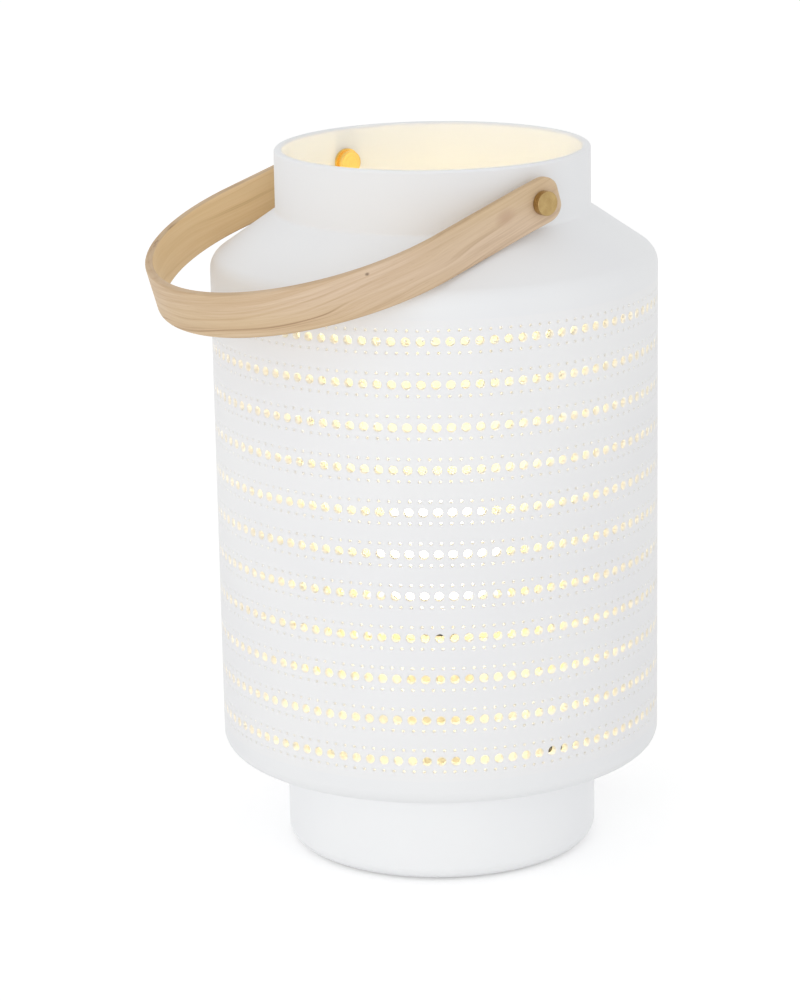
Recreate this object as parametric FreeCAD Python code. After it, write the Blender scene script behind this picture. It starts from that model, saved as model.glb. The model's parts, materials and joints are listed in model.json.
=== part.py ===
import FreeCAD, Part
import math
import os

from FreeCAD import Placement, Rotation, Vector

# Lantern table lamp: a perforated porcelain body with a bent-wood handle and a lit bulb inside.
# Millimetres, +Z up. The origin is the centre of the felt face that the lamp stands on.
# The handle swings about an axis along X and lies on the -Y side of the neck.

os.makedirs("parts", exist_ok=True)

# ---------------------------------------------------------------- driving dimensions

# Porcelain body, outside
body_d = 160.0                 # the perforated drum
foot_d = 113.5
neck_d = 112.5
foot_height = 30.2             # foot ring up to the lower shoulder
lower_shoulder_angle = 19.0    # degrees above the horizontal
drum_height = 179.7
upper_shoulder_angle = 34.7    # degrees below the horizontal
neck_height = 22.4
foot_edge_radius = 5.3
foot_joint_radius = 2.0
drum_lower_radius = 5.5
drum_upper_radius = 7.0
neck_joint_radius = 1.5
rim_radius = 1.3

# Porcelain body, inside and underneath
wall = 3.0
floor_thickness = 4.0
floor_corner_radius = 2.5
cover_rebate_width = 3.0       # ledge that the base cover is glued to
foot_ring_width = 7.0          # foot's outer face to the rebate, at the standing edge

# Perforation: rows of large holes, each between two rows of pinholes too fine for solids
hole_d = 3.1
hole_row_pitch = 14.9
hole_column_pitch = 5.08
hole_band_margin = 15.0        # least height of plain wall above and below the rows
first_column_angle = -0.4      # degrees from +X
sector_count = 9               # equal slices of the body, each cut once and repeated

# Underside
felt_thickness = 1.6
felt_proud = 0.6
cover_thickness = 1.5
cover_clearance = 0.3
nipple_end_gap = 0.8           # base cover to the nipple's lower end
nipple_overhang = 0.8          # nipple beyond the nut

# Threaded nipple and what it clamps
nipple_d = 10.0
nipple_bore_d = 7.0
nipple_hole_clearance = 0.3
thread_clearance = 0.05
nut_across_flats = 14.0
nut_thickness = 3.0
washer_d = 24.0
steel_washer_thickness = 1.0
rubber_washer_thickness = 1.0
stem_d = 16.0
stem_length = 22.0
stem_slot_width = 5.0          # cable entry in the back of the stem and the nipple
stem_slot_height = 12.0

# Lampholder for a small screw-cap bulb
holder_d = 27.0
holder_cap_height = 13.0
holder_cap_base_thickness = 5.0
holder_cap_wall = 2.0
holder_cap_taper = 3.0
holder_skirt_height = 28.0
holder_skirt_wall = 2.6
holder_mouth_d = 16.4
holder_lip = 2.0
insert_thickness = 4.5
insert_ledge = 1.0             # step in the cap that the insert sits on
shell_d = 15.2
shell_wall = 0.4
shell_height = 18.0
shell_flange_width = 1.2
lock_screw_d = 3.0
terminal_screw_d = 2.5
terminal_head_d = 4.0
terminal_head_height = 1.6
terminal_radius = 8.0
contact_width = 3.4
contact_length = 9.0
contact_thickness = 0.5
contact_rise = 2.3
fit_gap = 0.1                  # between the lampholder's own mouldings

# Bulb
globe_d = 45.0
globe_wall = 1.0
bulb_length = 78.0
bulb_cap_d = 13.9
bulb_cap_height = 22.5
bulb_cap_wall = 0.4
bulb_thread_depth = 0.65
bulb_thread_pitch = 2.82
bulb_insulator_height = 2.6
bulb_tip_d = 5.0
bulb_tip_height = 1.2
collar_lower_d = 16.0
collar_upper_d = 29.0
collar_wall = 2.4
collar_spigot_length = 3.0
collar_spigot_wall = 1.3
led_board_thickness = 1.6
led_count = 8
led_size = 2.8
led_height = 0.7
led_ring_radius = 7.5

# Handle and its two brass pivots
strip_width = 16.2
strip_thickness = 3.0
strip_edge_radius = 0.8
strip_end_radius = 6.0
strip_end_length = 8.0         # past the pivot
strip_pad_length = 7.0         # flat part beside the pivot
strip_bend_radius = 60.0       # where a limb starts to lean outwards
strip_flare = 2.7              # degrees that each limb leans outwards
handle_reach = 110.8           # pivot to the middle of the bow
handle_rest_gap = 0.2          # strip to shoulder where the handle lies down
pivot_drop = 12.6              # rim to pivot axis
pin_d = 5.0
pin_head_d = 8.5
pin_head_thickness = 3.0
pin_head_edge = 0.3
pin_thread_d = 3.0
pin_thread_end_wall = 1.2
pin_running_clearance = 0.05
pin_wall_clearance = 0.25
side_running_gap = 0.15        # along the axis, each side of the strip
spacer_d = 10.0
spacer_thickness = 2.8
inner_washer_d = 10.0
inner_washer_thickness = 1.0
screw_head_thickness = 2.5
seat_gap = 0.1                 # flat washers to the round neck

# Cable bush in the back of the foot
bush_bore_d = 6.2
bush_fit_gap = 0.05
bush_d = 9.0
bush_flange_d = 12.5
bush_flange_thickness = 1.4
bush_lip_d = 10.5
bush_lip_thickness = 1.0
bush_height_over_floor = 9.0

# ---------------------------------------------------------------- worked-out places

body_r = body_d / 2
foot_r = foot_d / 2
neck_r = neck_d / 2
lower_slope = math.radians(lower_shoulder_angle)
upper_slope = math.radians(upper_shoulder_angle)

foot_z = felt_proud
foot_top_z = foot_z + foot_height
drum_bottom_z = foot_top_z + (body_r - foot_r) * math.tan(lower_slope)
drum_top_z = drum_bottom_z + drum_height
neck_bottom_z = drum_top_z + (body_r - neck_r) * math.tan(upper_slope)
rim_z = neck_bottom_z + neck_height

cover_top_z = felt_thickness + cover_thickness
nipple_bottom_z = cover_top_z + nipple_end_gap
nut_bottom_z = nipple_bottom_z + nipple_overhang
steel_washer_z = nut_bottom_z + nut_thickness
lower_rubber_z = steel_washer_z + steel_washer_thickness
floor_bottom_z = lower_rubber_z + rubber_washer_thickness
floor_top_z = floor_bottom_z + floor_thickness
stem_bottom_z = floor_top_z + rubber_washer_thickness
holder_z = stem_bottom_z + stem_length

nipple_r = nipple_d / 2
nipple_hole_r = nipple_r + nipple_hole_clearance
rebate_r = foot_r - foot_ring_width
recess_r = rebate_r - cover_rebate_width

bush_z = floor_top_z + bush_height_over_floor
pivot_z = rim_z - pivot_drop


def lower_slope_z(r, inset=0.0):
    """Height of the lower shoulder at radius r, or of the face that lies inset inside it."""
    return foot_top_z + (r - foot_r) * math.tan(lower_slope) + inset / math.cos(lower_slope)


def upper_slope_z(r, inset=0.0):
    """Height of the upper shoulder at radius r, or of the face that lies inset inside it."""
    return neck_bottom_z - (r - neck_r) * math.tan(upper_slope) - inset / math.cos(upper_slope)


# ---------------------------------------------------------------- shape helpers

def corner_arc(before, corner, after, radius):
    """Start, middle and end of the arc of this radius that rounds a corner."""
    to_before = (before - corner).normalize()
    to_after = (after - corner).normalize()
    half = to_before.getAngle(to_after) / 2
    reach = radius / math.tan(half)
    bisector = (to_before + to_after).normalize()
    centre = corner + bisector * (radius / math.sin(half))
    return corner + to_before * reach, centre - bisector * radius, corner + to_after * reach


def rounded_wire(corners):
    """Closed wire through (point, radius) corners, with an arc at each corner that has a radius."""
    edges = []
    points = [point for point, radius in corners]
    pieces = []
    for index, (point, radius) in enumerate(corners):
        if radius > 0:
            before = points[index - 1]
            after = points[(index + 1) % len(points)]
            pieces.append(corner_arc(before, point, after, radius))
        else:
            pieces.append((point,))
    for index, piece in enumerate(pieces):
        if len(piece) == 3:
            edges.append(Part.Arc(*piece).toShape())
        start = piece[-1]
        end = pieces[(index + 1) % len(pieces)][0]
        if start.distanceToPoint(end) > 1e-6:
            edges.append(Part.makeLine(start, end))
    return Part.Wire(edges)


def section(corners):
    """Face in the XZ half plane from (radius from the axis, height, corner radius) entries."""
    return Part.Face(rounded_wire([(Vector(r, 0, z), rounding) for r, z, rounding in corners]))


def turned(corners):
    """Solid of revolution about Z."""
    return section(corners).revolve(Vector(0, 0, 0), Vector(0, 0, 1), 360)


def ring(outer_d, inner_d, z, height):
    """Flat ring about Z."""
    outer = Part.makeCylinder(outer_d / 2, height, Vector(0, 0, z))
    return outer.cut(Part.makeCylinder(inner_d / 2, height, Vector(0, 0, z)))


def rod_x(diameter, x_start, x_end):
    """Cylinder along X on the handle's pivot axis."""
    return Part.makeCylinder(diameter / 2, x_end - x_start, Vector(x_start, 0, pivot_z), Vector(1, 0, 0))


def rod_y(diameter, y_start, y_end, z):
    """Cylinder along Y at x = 0."""
    return Part.makeCylinder(diameter / 2, y_end - y_start, Vector(0, y_start, z), Vector(0, 1, 0))


def other_side(shape):
    """The same shape on the -X side of the lamp."""
    return shape.mirror(Vector(0, 0, 0), Vector(1, 0, 0))


def export(node, shape):
    shape.exportStep("parts/" + node + ".step")


# ---------------------------------------------------------------- porcelain body

def body_section():
    """Right half of the body's section: outside upwards, over the rim, inside down, underside."""
    inner_r = body_r - wall
    inner_neck_r = neck_r - wall
    inner_foot_r = foot_r - wall
    return section([
        (rebate_r, foot_z, 0),
        (foot_r, foot_z, foot_edge_radius),
        (foot_r, foot_top_z, foot_joint_radius),
        (body_r, drum_bottom_z, drum_lower_radius),
        (body_r, drum_top_z, drum_upper_radius),
        (neck_r, neck_bottom_z, neck_joint_radius),
        (neck_r, rim_z, rim_radius),
        (inner_neck_r, rim_z, rim_radius),
        (inner_neck_r, upper_slope_z(inner_neck_r, wall), neck_joint_radius + wall),
        (inner_r, upper_slope_z(inner_r, wall), drum_upper_radius - wall),
        (inner_r, lower_slope_z(inner_r, wall), drum_lower_radius - wall),
        (inner_foot_r, lower_slope_z(inner_foot_r, wall), foot_joint_radius + wall),
        (inner_foot_r, floor_top_z, floor_corner_radius),
        (nipple_hole_r, floor_top_z, 0),
        (nipple_hole_r, floor_bottom_z, 0),
        (recess_r, floor_bottom_z, 0),
        (recess_r, cover_top_z, 0),
        (rebate_r, cover_top_z, 0),
    ])


def porcelain_body():
    """Perforated body: one slice is cut and repeated, then the pivot and cable holes are cut."""
    sector_angle = 360.0 / sector_count
    columns = round(math.pi * body_d / hole_column_pitch / sector_count)
    column_angle = sector_angle / columns
    sector_start = first_column_angle - column_angle / 2
    free_height = drum_height - 2 * hole_band_margin
    rows = int(free_height / hole_row_pitch) + 1
    first_row_z = drum_bottom_z + (drum_height - (rows - 1) * hole_row_pitch) / 2

    axis = Vector(0, 0, 1)
    middle = Vector(0, 0, 0)
    sector = body_section().revolve(middle, axis, sector_angle)
    drills = []
    for column in range(columns):
        angle = math.radians((column + 0.5) * column_angle)
        outward = Vector(math.cos(angle), math.sin(angle), 0)
        for row in range(rows):
            start = outward * (body_r - 2 * wall) + Vector(0, 0, first_row_z + row * hole_row_pitch)
            drills.append(Part.makeCylinder(hole_d / 2, 3 * wall, start, outward))
    sector = sector.cut(drills)

    # The slice's two cut faces lie in planes through the axis; all other faces are the body's.
    skin = []
    for face in sector.Faces:
        u_low, u_high, v_low, v_high = face.ParameterRange
        normal = face.normalAt((u_low + u_high) / 2, (v_low + v_high) / 2)
        through_axis = abs(normal.dot(face.CenterOfMass)) < 1e-3 and abs(normal.z) < 1e-6
        if not (isinstance(face.Surface, Part.Plane) and through_axis):
            skin.append(face)
    faces = []
    for index in range(sector_count):
        turn = Placement(middle, Rotation(axis, sector_start + index * sector_angle))
        for face in skin:
            copy = face.copy()
            copy.Placement = turn.multiply(copy.Placement)
            faces.append(copy)
    shell = Part.makeCompound(faces)
    shell.sewShape()
    body = Part.Solid(shell.Shells[0])
    if body.Volume < 0:
        body.reverse()

    pin_hole_d = pin_d + 2 * pin_wall_clearance
    pin_holes = rod_x(pin_hole_d, -body_r, body_r)
    cable_hole = rod_y(bush_d + 2 * bush_fit_gap, foot_r - 3 * wall, body_r, bush_z)
    return body.cut([pin_holes, cable_hole])


# ---------------------------------------------------------------- underside and stem

def base_felt():
    """Felt disc that the lamp stands on."""
    return Part.makeCylinder(rebate_r - cover_clearance, felt_thickness)


def base_cover():
    """Disc that closes the underside, up against the ledge in the foot."""
    return Part.makeCylinder(rebate_r - cover_clearance, cover_thickness, Vector(0, 0, felt_thickness))


def cable_slot():
    """Cutter for the cable entry, from the stem's axis backwards."""
    corner = Vector(-stem_slot_width / 2, 0, bush_z - stem_slot_height / 2)
    return Part.makeBox(stem_slot_width, stem_d, stem_slot_height, corner)


def threaded_nipple():
    """Hollow threaded tube from under the floor into the lampholder's cap."""
    top = holder_z + holder_cap_base_thickness
    tube = ring(nipple_d, nipple_bore_d, nipple_bottom_z, top - nipple_bottom_z)
    return tube.cut(cable_slot())


def hexagon_nut():
    """Nut on the nipple, below the floor."""
    corner = nut_across_flats / 2 / math.cos(math.pi / 6)
    points = []
    for index in range(6):
        angle = math.radians(60 * index)
        points.append(Vector(corner * math.cos(angle), corner * math.sin(angle), nut_bottom_z))
    blank = Part.Face(Part.makePolygon(points + points[:1])).extrude(Vector(0, 0, nut_thickness))
    bore_r = nipple_r + thread_clearance
    return blank.cut(Part.makeCylinder(bore_r, nut_thickness, Vector(0, 0, nut_bottom_z)))


def holder_stem():
    """Tube that lifts the lampholder off the floor, open at the back for the cable."""
    tube = ring(stem_d, nipple_d + 2 * nipple_hole_clearance, stem_bottom_z, stem_length)
    return tube.cut(cable_slot())


def cable_bush():
    """Rubber bush snapped into the back of the foot, flange outside and lip inside."""
    wall_outside = foot_r + seat_gap
    wall_inside = math.sqrt((foot_r - wall) ** 2 - (bush_lip_d / 2) ** 2) - seat_gap
    flange = rod_y(bush_flange_d, wall_outside, wall_outside + bush_flange_thickness, bush_z)
    barrel = rod_y(bush_d, wall_inside, wall_outside, bush_z)
    lip = rod_y(bush_lip_d, wall_inside - bush_lip_thickness, wall_inside, bush_z)
    bore = rod_y(bush_bore_d, 0, body_r, bush_z)
    return flange.fuse([barrel, lip]).removeSplitter().cut(bore)


# ---------------------------------------------------------------- lampholder

holder_r = holder_d / 2
mouth_r = holder_mouth_d / 2
cap_inner_r = holder_r - holder_cap_wall
insert_r = cap_inner_r - fit_gap
skirt_z = holder_z + holder_cap_height
skirt_top_z = skirt_z + holder_skirt_height
insert_top_z = skirt_z - fit_gap
insert_z = insert_top_z - insert_thickness
tip_z = insert_top_z + contact_rise
lock_screw_z = holder_z + holder_cap_base_thickness / 2


def holder_cap():
    """Lampholder's lower moulding, screwed on the nipple, with a hole for its locking screw."""
    bore_r = nipple_r + thread_clearance
    cavity_r = cap_inner_r - insert_ledge
    cavity_z = holder_z + holder_cap_base_thickness
    cap = turned([
        (bore_r, holder_z, 0),
        (holder_r - holder_cap_taper, holder_z, 1.0),
        (holder_r, holder_z + 2 * holder_cap_taper, 1.5),
        (holder_r, skirt_z, 0),
        (cap_inner_r, skirt_z, 0),
        (cap_inner_r, insert_z, 0),
        (cavity_r, insert_z, 0),
        (cavity_r, cavity_z, 0),
        (bore_r, cavity_z, 0),
    ])
    return cap.cut(rod_y(lock_screw_d, nipple_r, holder_r, lock_screw_z))


def holder_lock_screw():
    """Grub screw that stops the lampholder turning on the nipple."""
    start = nipple_r + thread_clearance
    end = holder_r - holder_cap_taper
    return rod_y(lock_screw_d - 2 * thread_clearance, start, end, lock_screw_z)


def holder_skirt():
    """Lampholder's upper moulding, a tube with an inturned mouth."""
    inner_r = holder_r - holder_skirt_wall
    return turned([
        (inner_r, skirt_z, 0),
        (holder_r, skirt_z, 0),
        (holder_r, skirt_top_z, 1.2),
        (mouth_r, skirt_top_z, 0.5),
        (mouth_r, skirt_top_z - holder_lip, 0.5),
        (inner_r, skirt_top_z - holder_lip, 0),
    ])


def terminal_places(z):
    """Points at height z on the axes of the two terminal screws."""
    return [Vector(-terminal_radius, 0, z), Vector(terminal_radius, 0, z)]


def holder_insert():
    """Ceramic disc that carries the contacts, the thread shell and the terminals."""
    disc = Part.makeCylinder(insert_r, insert_thickness, Vector(0, 0, insert_z))
    drill_r = terminal_screw_d / 2 + thread_clearance
    return disc.cut([Part.makeCylinder(drill_r, insert_thickness, at) for at in terminal_places(insert_z)])


def terminal_screws():
    """Two screws up through the insert, with slotted heads below it."""
    screws = []
    slot_size = terminal_head_height / 2
    for at in terminal_places(insert_z - terminal_head_height):
        length = terminal_head_height + insert_thickness
        shank = Part.makeCylinder(terminal_screw_d / 2, length, at)
        head = Part.makeCylinder(terminal_head_d / 2, terminal_head_height, at)
        slot_at = at - Vector(terminal_head_d / 2, slot_size / 2, 0)
        slot = Part.makeBox(terminal_head_d, slot_size, slot_size, slot_at)
        screws.append(head.fuse(shank).removeSplitter().cut(slot))
    return Part.makeCompound(screws)


def thread_shell():
    """Brass sleeve that takes the bulb's cap, on an inturned flange."""
    outer_r = shell_d / 2
    inner_r = outer_r - shell_wall
    flange_r = inner_r - shell_flange_width
    top_z = insert_top_z + shell_height
    return turned([
        (flange_r, insert_top_z, 0),
        (outer_r, insert_top_z, 0),
        (outer_r, top_z, 0),
        (inner_r, top_z, 0),
        (inner_r, insert_top_z + shell_wall, 0),
        (flange_r, insert_top_z + shell_wall, 0),
    ])


def centre_contact():
    """Bridge of bent strip under the bulb's tip."""
    foot = contact_length / 2
    top = bulb_tip_d / 2
    inner_z = tip_z - contact_thickness
    outside = [(-foot, insert_top_z, 0), (-top, tip_z, 0.8), (top, tip_z, 0.8), (foot, insert_top_z, 0)]
    inner_foot = foot - 1.2 * contact_thickness
    inner_top = top - 0.2 * contact_thickness
    inside = [(inner_foot, insert_top_z, 0), (inner_top, inner_z, 0.3),
              (-inner_top, inner_z, 0.3), (-inner_foot, insert_top_z, 0)]
    strip = section(outside + inside).extrude(Vector(0, contact_width, 0))
    strip.translate(Vector(0, -contact_width / 2, 0))
    return strip


# ---------------------------------------------------------------- bulb

globe_r = globe_d / 2
crest_r = bulb_cap_d / 2
root_r = crest_r - bulb_thread_depth
bulb_cap_z = tip_z + bulb_tip_height + bulb_insulator_height
bulb_cap_top_z = bulb_cap_z + bulb_cap_height
globe_z = tip_z + bulb_length - globe_r
collar_top_z = globe_z - math.sqrt(globe_r ** 2 - (collar_upper_d / 2) ** 2)


def bulb_tip():
    """Tip contact, which stands on the lampholder's centre contact."""
    return turned([
        (0, tip_z, 0),
        (bulb_tip_d / 2, tip_z, 0.6),
        (bulb_tip_d / 2, tip_z + bulb_tip_height, 0),
        (0, tip_z + bulb_tip_height, 0),
    ])


def bulb_insulator():
    """Insulating cone between the tip and the screw cap."""
    low_z = tip_z + bulb_tip_height
    return turned([
        (0, low_z, 0),
        (bulb_tip_d / 2 + bulb_cap_wall, low_z, 0),
        (root_r - bulb_cap_wall, bulb_cap_z, 0),
        (0, bulb_cap_z, 0),
    ])


def bulb_screw_cap():
    """Screw cap: a thin cup whose rounded thread is drawn as rings."""
    turns = int(bulb_cap_height / bulb_thread_pitch) - 1
    corners = [(0, bulb_cap_z, 0), (root_r, bulb_cap_z, bulb_cap_wall)]
    for turn in range(turns):
        low_z = bulb_cap_z + (turn + 0.5) * bulb_thread_pitch
        corners.append((root_r, low_z, bulb_cap_wall))
        corners.append((crest_r, low_z + bulb_thread_pitch / 3, bulb_cap_wall))
        corners.append((crest_r, low_z + bulb_thread_pitch * 2 / 3, bulb_cap_wall))
    corners.append((root_r, bulb_cap_z + (turns + 0.5) * bulb_thread_pitch, bulb_cap_wall))
    corners.append((root_r, bulb_cap_top_z, 0))
    corners.append((root_r - bulb_cap_wall, bulb_cap_top_z, 0))
    corners.append((root_r - bulb_cap_wall, bulb_cap_z + bulb_cap_wall, 0))
    corners.append((0, bulb_cap_z + bulb_cap_wall, 0))
    return turned(corners)


def bulb_collar():
    """Plastic collar from a spigot in the screw cap up to the globe."""
    spigot_r = root_r - bulb_cap_wall - thread_clearance
    bore_r = spigot_r - collar_spigot_wall
    spigot_z = bulb_cap_top_z - collar_spigot_length
    upper_r = collar_upper_d / 2
    return turned([
        (bore_r, spigot_z, 0),
        (spigot_r, spigot_z, 0),
        (spigot_r, bulb_cap_top_z, 0),
        (collar_lower_d / 2, bulb_cap_top_z, 0),
        (upper_r, collar_top_z, 0),
        (upper_r - collar_wall, collar_top_z, 0),
        (bore_r, bulb_cap_top_z, 0),
    ])


def led_board():
    """Round board on the collar's mouth, inside the globe's neck."""
    neck_opening_r = math.sqrt((globe_r - globe_wall) ** 2 - (globe_z - collar_top_z) ** 2)
    return Part.makeCylinder(neck_opening_r - fit_gap, led_board_thickness, Vector(0, 0, collar_top_z))


def led_chips():
    """Ring of chips on the board."""
    chips = []
    corner = Vector(led_ring_radius - led_size / 2, -led_size / 2, collar_top_z + led_board_thickness)
    for index in range(led_count):
        chip = Part.makeBox(led_size, led_size, led_height, corner)
        chip.rotate(Vector(0, 0, 0), Vector(0, 0, 1), 360.0 * index / led_count)
        chips.append(chip)
    return Part.makeCompound(chips)


def bulb_globe():
    """Opal globe, open where it stands on the collar."""
    centre = Vector(0, 0, globe_z)
    outer = Part.makeSphere(globe_r, centre)
    inner = Part.makeSphere(globe_r - globe_wall, centre)
    below = Part.makeCylinder(globe_r, globe_r, Vector(0, 0, collar_top_z - globe_r))
    return outer.cut([inner, below])


# ---------------------------------------------------------------- handle

strip_inner_x = neck_r + seat_gap + spacer_thickness + side_running_gap
strip_outer_x = strip_inner_x + strip_thickness
strip_x = (strip_inner_x + strip_outer_x) / 2
flare = math.radians(strip_flare)
bow_corner_x = strip_x + (handle_reach - strip_pad_length) * math.tan(flare)
bow_radius = bow_corner_x / math.tan((math.pi / 2 + flare) / 2)


def limb_x(reach):
    """Middle of a limb, sideways from the lamp's axis, at this distance from the pivot."""
    past_start = reach - (handle_reach - bow_radius)
    if past_start > 0:
        return math.sqrt(max(bow_radius ** 2 - past_start ** 2, 0))
    return strip_x + max(reach - strip_pad_length, 0) * math.tan(flare)


def shoulder_gap(tilt):
    """Least gap from the strip's rounded lower edges to the shoulder, at a tilt below horizontal."""
    gaps = [rim_z]
    steps = 60
    edge_below = strip_width / 2 - strip_edge_radius
    edge_aside = strip_thickness / 2 - strip_edge_radius
    for step in range(steps):
        reach = handle_reach * step / steps
        y = reach * math.cos(tilt) - edge_below * math.sin(tilt)
        z = pivot_z - reach * math.sin(tilt) - edge_below * math.cos(tilt)
        for side in (-1, 1):
            r = math.hypot(limb_x(reach) + side * edge_aside, y)
            if r < body_r:
                height = z - upper_slope_z(r)
                gaps.append(height * math.cos(upper_slope) - strip_edge_radius)
    return min(gaps)


def resting_tilt():
    """Tilt below the horizontal, in degrees, at which the handle lies on the shoulder."""
    low = 0.0
    high = math.radians(60)
    for _ in range(40):
        middle = (low + high) / 2
        if shoulder_gap(middle) > handle_rest_gap:
            low = middle
        else:
            high = middle
    return math.degrees(low)


def strip_side(offset):
    """Corners of one side face of the strip, from one end round the bow to the other end."""
    corner_x = bow_corner_x + offset / math.cos(flare) + offset * math.tan(flare)
    pad_x = strip_x + offset
    pad_y = strip_pad_length - offset * math.tan(flare / 2)
    bow = bow_radius + offset - fit_gap
    half = [
        (Vector(pad_x, -strip_end_length, 0), 0),
        (Vector(pad_x, pad_y, 0), strip_bend_radius - offset),
        (Vector(corner_x, handle_reach + offset, 0), bow),
    ]
    return half + [(Vector(-point.x, point.y, 0), radius) for point, radius in half[::-1]]


def sharp_edges(shape):
    """Edges where two faces meet at more than a slight angle."""
    found = []
    for edge in shape.Edges:
        middle = edge.valueAt((edge.FirstParameter + edge.LastParameter) / 2)
        faces = shape.ancestorsOfType(edge, Part.Face)
        normals = [face.normalAt(*face.Surface.parameter(middle)) for face in faces]
        if len(normals) == 2 and normals[0].getAngle(normals[1]) > math.radians(30):
            found.append(edge)
    return found


def handle_strip():
    """Bent-wood strip: a long U on edge with rounded ends, laid at its resting tilt."""
    half_width = strip_width / 2
    outline = strip_side(strip_thickness / 2) + strip_side(-strip_thickness / 2)[::-1]
    band = Part.Face(rounded_wire(outline)).extrude(Vector(0, 0, strip_width))
    band.translate(Vector(0, 0, -half_width))
    far_y = handle_reach + strip_thickness
    span = 2 * (bow_radius + strip_thickness)
    profile = rounded_wire([
        (Vector(-span / 2, -strip_end_length, -half_width), strip_end_radius),
        (Vector(-span / 2, far_y, -half_width), 0),
        (Vector(-span / 2, far_y, half_width), 0),
        (Vector(-span / 2, -strip_end_length, half_width), strip_end_radius),
    ])
    strip = band.common(Part.Face(profile).extrude(Vector(span, 0, 0)))
    strip = strip.makeFillet(strip_edge_radius, sharp_edges(strip))
    hole_r = pin_d / 2 + pin_running_clearance
    strip = strip.cut(Part.makeCylinder(hole_r, span, Vector(-span / 2, 0, 0), Vector(1, 0, 0)))
    strip.rotate(Vector(0, 0, 0), Vector(0, 0, 1), 180)
    strip.rotate(Vector(0, 0, 0), Vector(1, 0, 0), resting_tilt())
    strip.translate(Vector(0, 0, pivot_z))
    return strip


# ---------------------------------------------------------------- brass pivots

head_inner_x = strip_outer_x + side_running_gap
head_outer_x = head_inner_x + pin_head_thickness
thread_end_x = head_inner_x - pin_thread_end_wall
washer_outer_x = math.sqrt((neck_r - wall) ** 2 - (inner_washer_d / 2) ** 2) - seat_gap
screw_seat_x = washer_outer_x - inner_washer_thickness
pin_r = pin_d / 2
pin_head_r = pin_head_d / 2
pin_thread_r = pin_thread_d / 2


def turned_x(corners):
    """Solid of revolution about the pivot axis from (x, radius, corner radius) entries."""
    outline = [(Vector(x, 0, pivot_z + r), rounding) for x, r, rounding in corners]
    return Part.Face(rounded_wire(outline)).revolve(Vector(0, 0, pivot_z), Vector(1, 0, 0), 360)


def handle_pin():
    """Brass pin with a disc head outside the strip and a tapped blind hole from the inside."""
    bore_r = pin_thread_r + thread_clearance
    end_x = screw_seat_x + fit_gap
    return turned_x([
        (end_x, bore_r, 0),
        (end_x, pin_r, 0),
        (head_inner_x, pin_r, 0),
        (head_inner_x, pin_head_r, pin_head_edge),
        (head_outer_x, pin_head_r, pin_head_edge),
        (head_outer_x, 0, 0),
        (thread_end_x, 0, 0),
        (thread_end_x, bore_r, 0),
    ])


def handle_screw():
    """Brass screw that closes the pin from inside the neck."""
    head_x = screw_seat_x - screw_head_thickness
    return turned_x([
        (head_x, 0, 0),
        (head_x, pin_head_r, pin_head_edge),
        (screw_seat_x, pin_head_r, pin_head_edge),
        (screw_seat_x, pin_thread_r, 0),
        (thread_end_x - fit_gap, pin_thread_r, pin_head_edge),
        (thread_end_x - fit_gap, 0, 0),
    ])


def pivot_washer(outer_d, x, thickness):
    """Flat washer round the pin."""
    hole_d = pin_d + 2 * pin_wall_clearance
    return rod_x(outer_d, x, x + thickness).cut(rod_x(hole_d, x, x + thickness))


# ---------------------------------------------------------------- parts

def main():
    washer_hole_d = nipple_d + 2 * nipple_hole_clearance
    parts = {
        "porcelain_body": porcelain_body(),
        "base_felt": base_felt(),
        "base_cover": base_cover(),
        "cable_bush": cable_bush(),
        "threaded_nipple": threaded_nipple(),
        "floor_nut": hexagon_nut(),
        "floor_steel_washer": ring(washer_d, washer_hole_d, steel_washer_z, steel_washer_thickness),
        "lower_rubber_washer": ring(washer_d, washer_hole_d, lower_rubber_z, rubber_washer_thickness),
        "upper_rubber_washer": ring(washer_d, washer_hole_d, floor_top_z, rubber_washer_thickness),
        "holder_stem": holder_stem(),
        "holder_cap": holder_cap(),
        "holder_lock_screw": holder_lock_screw(),
        "holder_skirt": holder_skirt(),
        "holder_insert": holder_insert(),
        "holder_terminal_screws": terminal_screws(),
        "holder_thread_shell": thread_shell(),
        "holder_centre_contact": centre_contact(),
        "bulb_tip": bulb_tip(),
        "bulb_insulator": bulb_insulator(),
        "bulb_screw_cap": bulb_screw_cap(),
        "bulb_collar": bulb_collar(),
        "bulb_led_board": led_board(),
        "bulb_led_chips": led_chips(),
        "bulb_globe": bulb_globe(),
        "handle_strip": handle_strip(),
    }
    right_side = {
        "handle_pin": handle_pin(),
        "handle_screw": handle_screw(),
        "handle_spacer": pivot_washer(spacer_d, neck_r + seat_gap, spacer_thickness),
        "inner_washer": pivot_washer(inner_washer_d, screw_seat_x, inner_washer_thickness),
    }
    for name, shape in right_side.items():
        parts["right_" + name] = shape
        parts["left_" + name] = other_side(shape)
    for node, shape in parts.items():
        export(node, shape)
    print("pivot height", round(pivot_z, 3), "resting tilt", round(resting_tilt(), 3))


main()
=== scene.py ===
import json
import math

import bmesh
import bpy
import numpy as np
from mathutils import Matrix, Vector

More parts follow.
